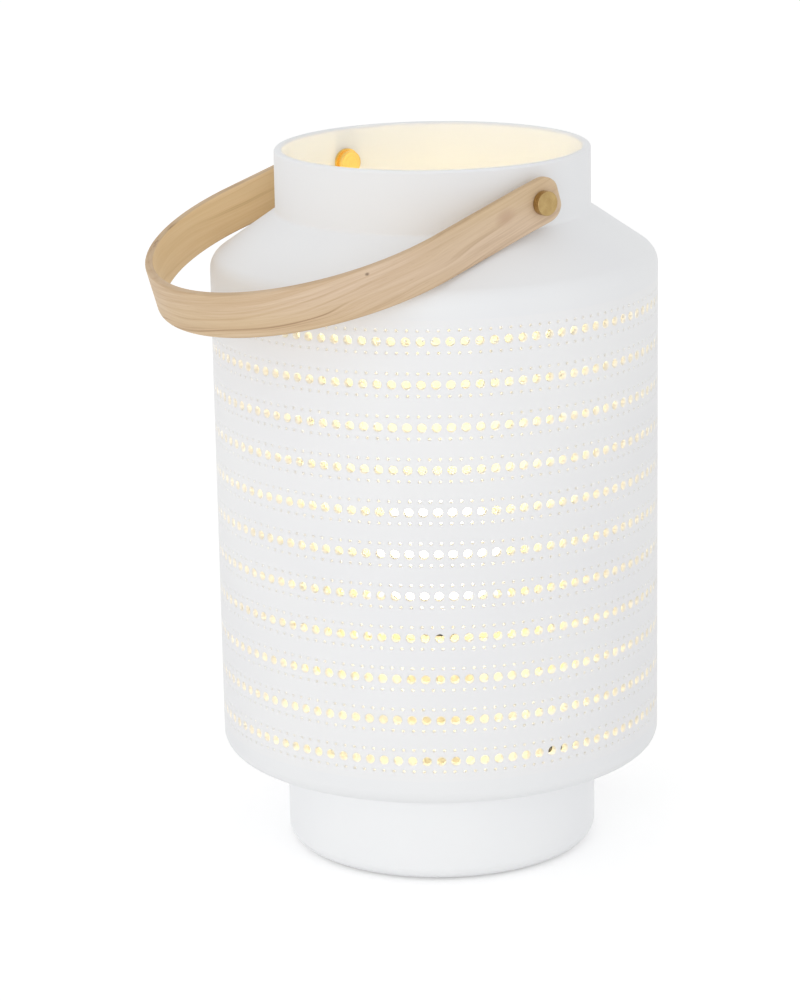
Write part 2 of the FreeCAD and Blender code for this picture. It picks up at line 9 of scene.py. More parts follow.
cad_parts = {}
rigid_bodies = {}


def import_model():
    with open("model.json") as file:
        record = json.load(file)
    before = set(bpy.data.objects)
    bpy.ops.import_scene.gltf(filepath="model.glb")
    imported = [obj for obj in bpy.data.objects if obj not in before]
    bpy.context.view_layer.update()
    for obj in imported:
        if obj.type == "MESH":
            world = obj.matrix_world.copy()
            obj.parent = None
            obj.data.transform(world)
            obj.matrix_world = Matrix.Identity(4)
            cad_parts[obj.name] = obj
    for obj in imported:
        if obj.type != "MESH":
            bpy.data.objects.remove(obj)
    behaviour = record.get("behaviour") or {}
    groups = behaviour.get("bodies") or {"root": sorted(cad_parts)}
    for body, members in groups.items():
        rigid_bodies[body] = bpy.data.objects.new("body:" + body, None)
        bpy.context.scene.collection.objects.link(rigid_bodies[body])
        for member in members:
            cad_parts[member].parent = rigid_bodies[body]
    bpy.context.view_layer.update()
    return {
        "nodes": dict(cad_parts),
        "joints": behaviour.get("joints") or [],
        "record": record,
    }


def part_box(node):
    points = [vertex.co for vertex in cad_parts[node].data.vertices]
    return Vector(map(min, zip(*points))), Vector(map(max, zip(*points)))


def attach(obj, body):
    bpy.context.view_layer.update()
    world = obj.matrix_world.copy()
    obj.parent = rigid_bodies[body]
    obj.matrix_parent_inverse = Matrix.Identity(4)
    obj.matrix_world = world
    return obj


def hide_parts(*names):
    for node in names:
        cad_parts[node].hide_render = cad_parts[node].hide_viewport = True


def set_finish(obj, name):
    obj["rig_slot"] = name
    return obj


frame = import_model()

# Lantern table lamp. Metres, in the frame's own axes: +Z up, +X along the handle's pivot axis.

MM = 0.001

# ---------------------------------------------------------------- sizes

body_low, body_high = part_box("porcelain_body")
foot_z = body_low.z
rim_z = body_high.z
body_r = body_high.x

# Porcelain body, as in the solid
foot_r = 56.75 * MM
neck_r = 56.25 * MM
foot_height = 30.2 * MM
neck_height = 22.4 * MM
lower_slope = math.radians(19.0)
upper_slope = math.radians(34.7)
foot_edge_radius = 5.3 * MM
foot_joint_radius = 2.0 * MM
drum_lower_radius = 5.5 * MM
drum_upper_radius = 7.0 * MM
neck_joint_radius = 1.5 * MM
rim_radius = 1.3 * MM
wall = 3.0 * MM
floor_corner_radius = 2.5 * MM
foot_ring_width = 7.0 * MM
cover_rebate_width = 3.0 * MM
pin_hole_d = 5.5 * MM
bush_hole_d = 9.1 * MM
nipple_hole_clearance = 0.3 * MM

# Perforation: each row of large holes lies between two rows of pinholes
hole_rows = 11
hole_row_pitch = 14.9 * MM
hole_columns = 99
first_column = math.radians(-0.4)
hole_r = 1.55 * MM
hole_rim = 0.35 * MM            # rounding at both ends of a hole
hole_sides = 20
pinhole_columns = 140
pinhole_offset = 3.9 * MM       # large row to pinhole row
pinhole_r = 0.58 * MM
pinhole_rim = 0.12 * MM
pinhole_sides = 8
hole_band = 2.35 * MM           # half height of the strip of wall that a row is cut in
pinhole_band = 0.95 * MM
rows_per_piece = 3
turn_steps = pinhole_columns * pinhole_sides // 4

# Lamplight that seeps through the porcelain, brightest in the walls of the holes
plain_glow = np.array([0.010, 0.005, 0.0])
large_hole_glow = np.array([0.12, 0.08, 0.005])
pinhole_glow = np.array([0.27, 0.24, 0.18])
glow_depth = 0.5 * MM            # depth in a hole at which its full glow is reached
surface_tolerance = 0.01 * MM
foot_glow = 0.065

# Handle
strip_width = 16.2 * MM
strip_thickness = 3.0 * MM
strip_edge_radius = 0.8 * MM
strip_end_radius = 6.0 * MM
strip_end_length = 8.0 * MM
strip_pad_length = 7.0 * MM
strip_bend_radius = 60.0 * MM
strip_flare = math.radians(2.7)
handle_reach = 110.8 * MM
pin_hole_in_strip_d = 5.1 * MM
spacer_gap = 0.15 * MM          # spacer's outer face to the strip
end_flat = 0.1 * MM             # flat left between the rounded edges at the strip's very end
end_stations = [place * MM for place in (0, 0.04, 0.15, 0.35, 0.6, 0.8, 1.4, 2.2, 3.2, 4.5, 6.0)]
middle_steps = 150
corner_steps = 4
beside_share = 0.3              # of a corner's radius, from its arc to the point beside it

swing = next(joint for joint in frame["joints"] if joint["name"] == "handle_swing")
pivot_z = swing["pos_m"][2]
resting_tilt = math.radians((swing["range_deg"][1] - 180) / 2)
spacer_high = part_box("right_handle_spacer")[1]
strip_x = spacer_high.x + spacer_gap + strip_thickness / 2

# ---------------------------------------------------------------- camera

camera_distance = 1.20635       # from the lamp's axis, along the floor
camera_height = 0.45022
camera_heading = math.radians(53.16)
camera_pan = -0.0113
camera_pitch = 0.2617           # downwards
camera_roll = -0.0181
focal_px = 3427.14              # in the 800 by 1000 frame
frame_height_px = 1000.0
sensor = 36.0
clip_start = 0.05


def make_camera():
    """Camera at the photograph's viewing angle."""
    heading = Matrix.Rotation(camera_heading, 3, "Z")
    flat = Vector((math.sin(camera_pan), math.cos(camera_pan), 0))
    forward = flat * math.cos(camera_pitch) - Vector((0, 0, math.sin(camera_pitch)))
    right = Vector((math.cos(camera_pan), -math.sin(camera_pan), 0))
    up = right.cross(forward)
    tilted_right = right * math.cos(camera_roll) + up * math.sin(camera_roll)
    tilted_up = up * math.cos(camera_roll) - right * math.sin(camera_roll)
    data = bpy.data.cameras.new("camera")
    data.sensor_width = sensor
    data.lens = focal_px * sensor / frame_height_px
    data.clip_start = clip_start
    camera = bpy.data.objects.new("camera", data)
    axes = Matrix((heading @ tilted_right, heading @ tilted_up, -(heading @ forward))).transposed()
    place = heading @ Vector((0, -camera_distance, camera_height))
    camera.matrix_world = Matrix.Translation(place) @ axes.to_4x4()
    bpy.context.collection.objects.link(camera)
    bpy.context.scene.camera = camera


# ---------------------------------------------------------------- mesh helpers

sharp_angle = math.radians(50)
weld_distance = 1e-6
arc_steps = 8
rod_sides = 48


def shade(mesh):
    """Smooth shading, apart from true edges."""
    mesh.polygons.foreach_set("use_smooth", [True] * len(mesh.polygons))
    mesh.set_sharp_from_angle(angle=sharp_angle)


def new_piece(name, points, faces, body, slot, glow=None):
    """Mesh object from points and faces, welded where points meet, riding on a body."""
    mesh = bpy.data.meshes.new(name)
    mesh.from_pydata(points, [], faces)
    if glow is not None:
        attribute = mesh.attributes.new("glow", "FLOAT_VECTOR", "POINT")
        attribute.data.foreach_set("vector", glow.ravel())
    piece = bpy.data.objects.new(name, mesh)
    bpy.context.collection.objects.link(piece)
    welded = bmesh.new()
    welded.from_mesh(mesh)
    bmesh.ops.remove_doubles(welded, verts=welded.verts, dist=weld_distance)
    welded.to_mesh(mesh)
    welded.free()
    shade(mesh)
    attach(piece, body)
    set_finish(piece, slot)
    return piece


def rounded_outline(corners):
    """Points along an open line of (r, z, radius) corners, with an arc at each that has a radius."""
    points = []
    for index, (r, z, radius) in enumerate(corners):
        corner = Vector((r, z))
        if radius == 0:
            points.append(corner)
            continue
        before = (Vector(corners[index - 1][:2]) - corner).normalized()
        after = (Vector(corners[index + 1][:2]) - corner).normalized()
        half = before.angle(after) / 2
        bisector = (before + after).normalized()
        centre = corner + bisector * (radius / math.sin(half))
        start = corner + before * (radius / math.tan(half)) - centre
        end = corner + after * (radius / math.tan(half)) - centre
        turn = start.angle_signed(end)
        for step in range(arc_steps + 1):
            spoke = Matrix.Rotation(-turn * step / arc_steps, 2) @ start
            points.append(centre + spoke)
    return points


def cut_rod(piece, diameter, start, end):
    """Cuts a round hole from start to end through a closed piece."""
    rod_mesh = bmesh.new()
    axis = end - start
    radius = diameter / 2
    turn = axis.to_track_quat("Z", "Y").to_matrix().to_4x4()
    bmesh.ops.create_cone(rod_mesh, cap_ends=True, segments=rod_sides, radius1=radius, radius2=radius,
                          depth=axis.length, matrix=Matrix.Translation((start + end) / 2) @ turn)
    mesh = bpy.data.meshes.new("cutter")
    rod_mesh.to_mesh(mesh)
    rod_mesh.free()
    cutter = bpy.data.objects.new("cutter", mesh)
    bpy.context.collection.objects.link(cutter)
    modifier = piece.modifiers.new("hole", "BOOLEAN")
    modifier.operation = "DIFFERENCE"
    modifier.solver = "EXACT"
    modifier.object = cutter
    graph = bpy.context.evaluated_depsgraph_get()
    cut = bpy.data.meshes.new_from_object(piece.evaluated_get(graph))
    piece.modifiers.clear()
    piece.data = cut
    bpy.data.objects.remove(cutter)
    shade(cut)


# ---------------------------------------------------------------- porcelain body

foot_top_z = foot_z + foot_height
drum_bottom_z = foot_top_z + (body_r - foot_r) * math.tan(lower_slope)
neck_bottom_z = rim_z - neck_height
drum_top_z = neck_bottom_z - (body_r - neck_r) * math.tan(upper_slope)
first_row_z = (drum_bottom_z + drum_top_z - (hole_rows - 1) * hole_row_pitch) / 2
inner_r = body_r - wall
cover_top_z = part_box("base_cover")[1].z
floor_bottom_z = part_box("lower_rubber_washer")[1].z
floor_top_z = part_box("upper_rubber_washer")[0].z
nipple_hole_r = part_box("threaded_nipple")[1].x + nipple_hole_clearance
bush_low, bush_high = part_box("cable_bush")
bush_z = (bush_low.z + bush_high.z) / 2

# Kinds of hole, as (columns, sides, angle of the first)
large_holes = (hole_columns, hole_sides, first_column)
pinholes = (pinhole_columns, pinhole_sides, 0.0)


def level_ring(columns, sides, phase, r, z):
    """Ring through the corners and side points of a band of cells, and its angles."""
    count = columns * sides // 4
    turns = phase + 2 * math.pi * (np.arange(count) / count - 0.5 / columns)
    points = np.stack([r * np.cos(turns), r * np.sin(turns), np.full(count, z)], axis=1)
    return points, turns


def plain_ring(r, z):
    """Points of a level ring in plain wall."""
    return level_ring(*pinholes, r, z)[0]


def zipped(lower, upper, outward):
    """Points and faces of the strip between two rings with any numbers of points."""
    (low_points, low_turns), (high_points, high_turns) = lower, upper
    low_count, high_count = len(low_turns), len(high_turns)
    full = 2 * math.pi
    shift = round((low_turns[0] - high_turns[0]) / full * high_count)
    faces = []
    low, high = 0, 0
    while low < low_count or high < high_count:
        next_low = low_turns[0] + (low + 1) * full / low_count
        next_high = high_turns[0] + (high + shift + 1) * full / high_count
        a = low % low_count
        b = low_count + (high + shift) % high_count
        if low < low_count and (high == high_count or next_low <= next_high):
            faces.append((a, (low + 1) % low_count, b))
            low += 1
        else:
            faces.append((a, low_count + (high + shift + 1) % high_count, b))
            high += 1
    if not outward:
        faces = [face[::-1] for face in faces]
    return np.concatenate([low_points, high_points]), faces


def cell_edge(side_count, half_angle, half_height):
    """Points round a cell as (angle, height) from its middle, corners at the quarters."""
    along = np.linspace(-1, 1, side_count + 1)[:-1]
    ones = np.ones(side_count)
    angle = np.concatenate([along, ones, -along, -ones]) * half_angle
    height = np.concatenate([-ones, along, ones, -along]) * half_height
    return angle, height


def pierced_band(kind, z, half_height, radius, rim):
    """Points and faces of a band of wall with one round hole in each of its cells."""
    columns, sides, phase = kind
    half_angle = math.pi / columns
    edge_angle, edge_height = cell_edge(sides // 4, half_angle, half_height)
    spokes = np.radians(-135) + 2 * math.pi * np.arange(sides) / sides
    soft = rim * (1 - math.sqrt(0.5))
    outer_rings = [(radius + rim, 0.0), (radius + soft, soft), (radius, rim)]
    if kind is pinholes:
        outer_rings = outer_rings[::2]
    rings = outer_rings + [(ring_r, wall - depth) for ring_r, depth in outer_rings[::-1]]
    layers = [(edge_angle, edge_height, body_r)]
    for ring_r, depth in rings:
        r = body_r - depth
        layers.append((ring_r * np.cos(spokes) / r, ring_r * np.sin(spokes), r))
    layers.append((edge_angle, edge_height, inner_r))

    centres = phase + 2 * math.pi * np.arange(columns) / columns
    points = []
    for angle, height, r in layers:
        turns = centres[:, None] + angle[None, :]
        level = np.broadcast_to(z + height[None, :], turns.shape)
        points.append(np.stack([r * np.cos(turns), r * np.sin(turns), level], axis=2))
    points = np.stack(points, axis=1).reshape(-1, 3)

    cell_faces = []
    for layer in range(len(layers) - 1):
        for k in range(sides):
            a = layer * sides + k
            b = layer * sides + (k + 1) % sides
            cell_faces.append((a, b, b + sides, a + sides))
    cell_faces = np.array(cell_faces)
    offsets = np.arange(columns) * len(layers) * sides
    faces = (cell_faces[None, :, :] + offsets[:, None, None]).reshape(-1, 4)
    return points, [tuple(face) for face in faces.tolist()]


def wall_glow(points, inside_glow):
    """Light that comes through the wall at each point, for a band's holes or for plain wall."""
    depth = body_r - np.hypot(points[:, 0], points[:, 1])
    into_hole = np.clip(depth / glow_depth, 0, 1)[:, None]
    open_inside = (depth > wall - surface_tolerance)[:, None]
    return np.where(open_inside, 0.0, (1 - into_hole) * plain_glow + into_hole * inside_glow)


def joined(parts):
    """One list of points and one of faces from several."""
    points, faces, count = [], [], 0
    for part_points, part_faces in parts:
        points.append(part_points)
        faces += [tuple(index + count for index in face) for face in part_faces]
        count += len(part_points)
    return np.concatenate(points).tolist(), faces


def pierced_rows(first, last, z_low, z_high):
    """Points, faces and glow of the drum's wall from z_low to z_high, with the rows first to last."""
    parts = []
    glow = []

    def add(part, inside_glow=plain_glow):
        parts.append(part)
        glow.append(wall_glow(part[0], inside_glow))

    def add_strips(below, above):
        """Plain wall outside and inside, between two rings given as (kind of hole, z)."""
        for r in (body_r, inner_r):
            lower = level_ring(*below[0], r, below[1])
            upper = level_ring(*above[0], r, above[1])
            add(zipped(lower, upper, r == body_r))

    below = (pinholes, z_low)
    for row in range(first, last):
        z = first_row_z + row * hole_row_pitch
        bands = [
            (pinholes, z - pinhole_offset, pinhole_band),
            (large_holes, z, hole_band),
            (pinholes, z + pinhole_offset, pinhole_band),
        ]
        for kind, middle, half in bands:
            add_strips(below, (kind, middle - half))
            if kind is large_holes:
                add(pierced_band(kind, middle, half, hole_r, hole_rim), large_hole_glow)
            else:
                add(pierced_band(kind, middle, half, pinhole_r, pinhole_rim), pinhole_glow)
            below = (kind, middle + half)
    add_strips(below, (pinholes, z_high))
    add(seam(z_low, False))
    add(seam(z_high, True))
    return *joined(parts), np.concatenate(glow)


def seam(z, upwards):
    """Points and faces of the hidden ring that closes a piece of the wall at height z."""
    outer = plain_ring(body_r, z)
    inner = plain_ring(inner_r, z)
    faces = []
    for k in range(turn_steps):
        after = (k + 1) % turn_steps
        face = (k, after, turn_steps + after, turn_steps + k)
        faces.append(face if upwards else face[::-1])
    return np.concatenate([outer, inner]), faces


def lathed(outline):
    """Points and faces of an outline turned about Z, its left side outwards."""
    rings = [plain_ring(r, z) for r, z in outline]
    faces = []
    for level in range(len(rings) - 1):
        for k in range(turn_steps):
            a = level * turn_steps + k
            b = level * turn_steps + (k + 1) % turn_steps
            faces.append((a, b, b + turn_steps, a + turn_steps))
    return np.concatenate(rings), faces


def upper_z(r, inset=0.0):
    """Height of the upper shoulder at radius r, or of its inner face when inset by the wall."""
    return neck_bottom_z - (r - neck_r) * math.tan(upper_slope) - inset / math.cos(upper_slope)


def lower_z(r, inset=0.0):
    """Height of the lower shoulder at radius r, or of its inner face when inset by the wall."""
    return foot_top_z + (r - foot_r) * math.tan(lower_slope) + inset / math.cos(lower_slope)


def neck_piece(seam_z):
    """Upper shoulder, neck and rim, from the seam up outside and back down inside."""
    inner_neck_r = neck_r - wall
    outline = rounded_outline([
        (body_r, seam_z, 0),
        (body_r, drum_top_z, drum_upper_radius),
        (neck_r, neck_bottom_z, neck_joint_radius),
        (neck_r, rim_z, rim_radius),
        (inner_neck_r, rim_z, rim_radius),
        (inner_neck_r, upper_z(inner_neck_r, wall), neck_joint_radius + wall),
        (inner_r, upper_z(inner_r, wall), drum_upper_radius - wall),
        (inner_r, seam_z, 0),
    ])
    points, faces = joined([lathed(outline), seam(seam_z, False)])
    piece = new_piece("porcelain_neck", points, faces, "lamp", "porcelain")
    for side in (-1, 1):
        start = Vector((side * (neck_r - 3 * wall), 0, pivot_z))
        end = Vector((side * (neck_r + wall), 0, pivot_z))
        cut_rod(piece, pin_hole_d, start, end)
    return piece


def foot_piece(seam_z):
    """Lower shoulder, foot and floor, from inside the drum down and back up outside."""
    inner_foot_r = foot_r - wall
    rebate_r = foot_r - foot_ring_width
    recess_r = rebate_r - cover_rebate_width
    outline = rounded_outline([
        (inner_r, seam_z, 0),
        (inner_r, lower_z(inner_r, wall), drum_lower_radius - wall),
        (inner_foot_r, lower_z(inner_foot_r, wall), foot_joint_radius + wall),
        (inner_foot_r, floor_top_z, floor_corner_radius),
        (nipple_hole_r, floor_top_z, 0),
        (nipple_hole_r, floor_bottom_z, 0),
        (recess_r, floor_bottom_z, 0),
        (recess_r, cover_top_z, 0),
        (rebate_r, cover_top_z, 0),
        (rebate_r, foot_z, 0),
        (foot_r, foot_z, foot_edge_radius),
        (foot_r, foot_top_z, foot_joint_radius),
        (body_r, drum_bottom_z, drum_lower_radius),
        (body_r, seam_z, 0),
    ])
    points, faces = joined([lathed(outline), seam(seam_z, True)])
    piece = new_piece("porcelain_foot", points, faces, "lamp", "porcelain")
    start = Vector((0, foot_r - 3 * wall, bush_z))
    cut_rod(piece, bush_hole_d, start, Vector((0, body_r, bush_z)))
    return piece


def make_porcelain():
    """Perforated porcelain body, in pieces that meet at hidden seams in plain wall."""
    margin = hole_row_pitch / 2
    bottom_seam_z = first_row_z - margin
    top_seam_z = first_row_z + (hole_rows - 1) * hole_row_pitch + margin
    pieces = [foot_piece(bottom_seam_z)]
    for first in range(0, hole_rows, rows_per_piece):
        last = min(first + rows_per_piece, hole_rows)
        low = first_row_z + first * hole_row_pitch - margin
        high = first_row_z + last * hole_row_pitch - margin
        points, faces, glow = pierced_rows(first, last, low, high)
        name = "porcelain_rows_" + str(first + 1) + "_to_" + str(last)
        pieces.append(new_piece(name, points, faces, "lamp", "porcelain", glow))
    pieces.append(neck_piece(top_seam_z))
    for piece in pieces:
        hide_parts("porcelain_body")


# ---------------------------------------------------------------- wooden handle

def strip_section(half_width, half_thickness, radius):
    """Rounded rectangle as (across, through) points, with a point beside each rounded corner."""
    points = []
    beside = radius * beside_share
    corners = [(1, 1), (-1, 1), (-1, -1), (1, -1)]
    for index, (side, face) in enumerate(corners):
        across = side * (half_width - radius)
        through = face * (half_thickness - radius)
        start = index * math.pi / 2
        spokes = [start + math.pi / 2 * step / corner_steps for step in range(corner_steps + 1)]
        arc = [(across + radius * math.cos(a), through + radius * math.sin(a)) for a in spokes]
        back = (math.sin(start) * beside, -math.cos(start) * beside)
        ahead = (-math.sin(spokes[-1]) * beside, math.cos(spokes[-1]) * beside)
        points.append((arc[0][0] + back[0], arc[0][1] + back[1]))
        points += arc
        points.append((arc[-1][0] + ahead[0], arc[-1][1] + ahead[1]))
    return points


def straight_strip(length, stations):
    """Strip before it is bent: along X, its width along Y and its thickness along Z."""
    half_width = strip_width / 2
    half_thickness = strip_thickness / 2
    points, faces = [], []
    for along in stations:
        to_end = min(along, length - along)
        corner_in = max(strip_end_radius - to_end, 0)
        edge_in = max(strip_edge_radius - to_end, 0)
        narrowed = strip_end_radius - math.sqrt(strip_end_radius ** 2 - corner_in ** 2)
        thinned = strip_edge_radius - math.sqrt(strip_edge_radius ** 2 - edge_in ** 2)
        radius = min(strip_edge_radius, half_thickness - thinned - end_flat)
        outline = strip_section(half_width - narrowed, half_thickness - thinned, radius)
        points += [(along, across, through) for across, through in outline]
    count = len(points) // len(stations)
    for ring in range(len(stations) - 1):
        for k in range(count):
            a = ring * count + k
            b = ring * count + (k + 1) % count
            faces.append((a, b, b + count, a + count)[::-1])
    faces.append(tuple(range(count)))
    faces.append(tuple(range(len(points) - count, len(points)))[::-1])
    return points, faces


class Centreline:
    """Line that the strip is bent along, as straight runs and arcs in the handle's own plane."""

    def __init__(self):
        bow_corner_x = strip_x + (handle_reach - strip_pad_length) * math.tan(strip_flare)
        self.bow_radius = bow_corner_x / math.tan((math.pi / 2 + strip_flare) / 2)
        bend = strip_bend_radius * math.tan(strip_flare / 2)
        limb = (handle_reach - strip_pad_length) / math.cos(strip_flare)
        bow_reach = self.bow_radius * math.tan((math.pi / 2 + strip_flare) / 2)
        half = [
            (strip_end_length + strip_pad_length - bend, 0.0),
            (strip_bend_radius * strip_flare, -strip_flare),
            (limb - bend - bow_reach, 0.0),
        ]
        bow = (self.bow_radius * (math.pi + 2 * strip_flare), math.pi + 2 * strip_flare)
        self.runs = half + [bow] + half[::-1]
        self.length = sum(run for run, turn in self.runs)

    def at(self, along):
        """Point (sideways, reach) and the direction there, this far from the right-hand end."""
        x, reach, heading = strip_x, -strip_end_length, math.pi / 2
        for run, turn in self.runs:
            step = min(along, run)
            if turn == 0:
                x += step * math.cos(heading)
                reach += step * math.sin(heading)
            else:
                radius = run / turn
                swept = step / radius
                x += radius * (math.sin(heading + swept) - math.sin(heading))
                reach -= radius * (math.cos(heading + swept) - math.cos(heading))
                heading += swept
            along -= step
            if along <= 0:
                break
        return x, reach, heading


def make_handle():
    """Bent strip. Each point keeps its place in the straight strip, which the grain follows."""
    line = Centreline()
    end = end_stations[-1]
    middle_length = line.length - 2 * end
    middle = [end + middle_length * k / middle_steps for k in range(1, middle_steps)]
    far_end = [line.length - place for place in end_stations[::-1]]
    stations = end_stations + middle + far_end
    piece = new_piece("handle_wood", *straight_strip(line.length, stations), "handle", "ash_wood")
    for along in (strip_end_length, line.length - strip_end_length):
        start = Vector((along, 0, -strip_thickness))
        cut_rod(piece, pin_hole_in_strip_d, start, Vector((along, 0, strip_thickness)))
    mesh = piece.data
    grain = mesh.attributes.new("grain", "FLOAT_VECTOR", "POINT")
    tilt = Matrix.Rotation(resting_tilt, 3, "X")
    for index, vertex in enumerate(mesh.vertices):
        along, across, through = vertex.co
        grain.data[index].vector = (along, across, through)
        x, reach, heading = line.at(along)
        x += through * math.sin(heading)
        reach -= through * math.cos(heading)
        vertex.co = tilt @ Vector((x, -reach, across)) + Vector((0, 0, pivot_z))
    mesh.flip_normals()
    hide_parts("handle_strip")


# ---------------------------------------------------------------- materials


class Nodes:
    """Short hand for building one material's nodes."""

    def __init__(self, name):
        self.material = bpy.data.materials.new(name)
        self.material.use_nodes = True
        self.tree = self.material.node_tree
        self.shader = self.tree.nodes["Principled BSDF"]
        self.output = self.tree.nodes["Material Output"]

    def add(self, kind, inputs=None, **settings):
        node = self.tree.nodes.new(kind)
        for key, value in settings.items():
            setattr(node, key, value)
        for key, value in (inputs or {}).items():
            self.feed(node.inputs[key], value)
        return node

    def feed(self, socket, value):
        if isinstance(value, bpy.types.NodeSocket):
            self.tree.links.new(value, socket)
        else:
            socket.default_value = value

    def set(self, **inputs):
        for key, value in inputs.items():
            self.feed(self.shader.inputs[key.replace("_", " ")], value)

    def place(self, scale=(1, 1, 1), offset=(0, 0, 0), source=None):
        """Object coordinates, or another vector, scaled and moved."""
        if source is None:
            source = self.add("ShaderNodeTexCoord").outputs["Object"]
        inputs = {"Vector": source, "Scale": scale, "Location": offset}
        return self.add("ShaderNodeMapping", inputs).outputs["Vector"]

    def noise(self, vector, scale, detail=3.0, roughness=0.5, distortion=0.0):
        node = self.add("ShaderNodeTexNoise", {"Vector": vector, "Scale": scale, "Detail": detail,
                                               "Roughness": roughness, "Distortion": distortion})
        return node.outputs["Fac"]

    def between(self, value, low, high, out_low=0.0, out_high=1.0):
        node = self.add("ShaderNodeMapRange", {"Value": value, "From Min": low, "From Max": high,
                                               "To Min": out_low, "To Max": out_high})
        node.clamp = True
        return node.outputs["Result"]

    def math(self, operation, a, b=0.0, c=0.0):
        node = self.add("ShaderNodeMath", operation=operation)
        for socket, value in zip(node.inputs, (a, b, c)):
            self.feed(socket, value)
        return node.outputs["Value"]

    def mix(self, share, a, b, blend="MIX"):
        node = self.add("ShaderNodeMix", data_type="RGBA", blend_type=blend)
        self.feed(node.inputs[0], share)
        self.feed(node.inputs[6], a)
        self.feed(node.inputs[7], b)
        return node.outputs[2]

    def bump(self, height, strength, distance, below=None):
        inputs = {"Height": height, "Strength": strength, "Distance": distance}
        if below is not None:
            inputs["Normal"] = below
        return self.add("ShaderNodeBump", inputs).outputs["Normal"]


def linear(red, green, blue):
    """Colour written as 0 to 255 screen values, in the shader's linear values."""
    def one(value):
        share = value / 255
        return share / 12.92 if share <= 0.04045 else ((share + 0.055) / 1.055) ** 2.4
    return (one(red), one(green), one(blue), 1.0)


# Marks in the wood: place in the straight strip, size each way, depth and colour
wood_marks = [
    ((0.0245, 0.0020, 0.0), (0.0060, 0.0036, 0.004), 0.50, linear(172, 128, 106)),
    ((0.0815, 0.0060, 0.0), (0.0010, 0.0008, 0.004), 0.95, linear(80, 54, 36)),
]


def porcelain_material():
    """Unglazed white porcelain: a matte skin with fine tooth and faint waves from the casting.

    The inside of the drum low down has painted warm lamplight, which makes it creamier. Lamplight
    seeps through as the mesh's glow says, and through the foot, painted as emission.
    """
    n = Nodes("porcelain")
    place = n.place()
    cloud = n.noise(place, scale=14, detail=2)
    tooth = n.noise(place, scale=2600, detail=4, roughness=0.6)
    wave = n.noise(place, scale=22, detail=2)
    parts = n.add("ShaderNodeSeparateXYZ", {"Vector": place}).outputs
    height = parts["Z"]
    level = n.add("ShaderNodeCombineXYZ", {"X": parts["X"], "Y": parts["Y"]}).outputs["Vector"]
    radius = n.add("ShaderNodeVectorMath", {0: level}, operation="LENGTH").outputs["Value"]
    inside = n.between(radius, inner_r + 0.4 * MM, inner_r + 0.1 * MM)
    over_shoulder = n.between(height, drum_bottom_z, drum_bottom_z + 3 * MM)
    row_7_z = first_row_z + 6 * hole_row_pitch
    row_10_z = first_row_z + 9 * hole_row_pitch
    low_rows = n.between(height, row_7_z, row_10_z, out_low=1.0, out_high=0.0)
    # painted warm lamplight: the inside of the drum low down is tinted creamier, as the lamp lights
    # it there
    painted_warm_light = n.math("MULTIPLY", inside, n.math("MULTIPLY", over_shoulder, low_rows))
    white = n.mix(n.between(cloud, 0.35, 0.65), linear(235, 236, 238), linear(238, 239, 240))
    n.set(Base_Color=n.mix(painted_warm_light, white, linear(241, 236, 214)))
    n.set(Roughness=n.between(tooth, 0.3, 0.7, out_low=0.55, out_high=0.68))
    waves = n.bump(wave, strength=0.12, distance=1.0 * MM)
    n.set(Normal=n.bump(tooth, strength=0.05, distance=0.08 * MM, below=waves))
    n.shader.inputs["Specular IOR Level"].default_value = 0.35
    seeping = n.add("ShaderNodeAttribute", attribute_name="glow").outputs["Vector"]
    in_foot = n.between(height, foot_top_z + 6 * MM, foot_top_z - 2 * MM, out_high=foot_glow)
    both = n.add("ShaderNodeVectorMath", {0: seeping, 1: in_foot}, operation="ADD")
    n.set(Emission_Color=both.outputs["Vector"])
    n.shader.inputs["Emission Strength"].default_value = 1.0
    return n.material


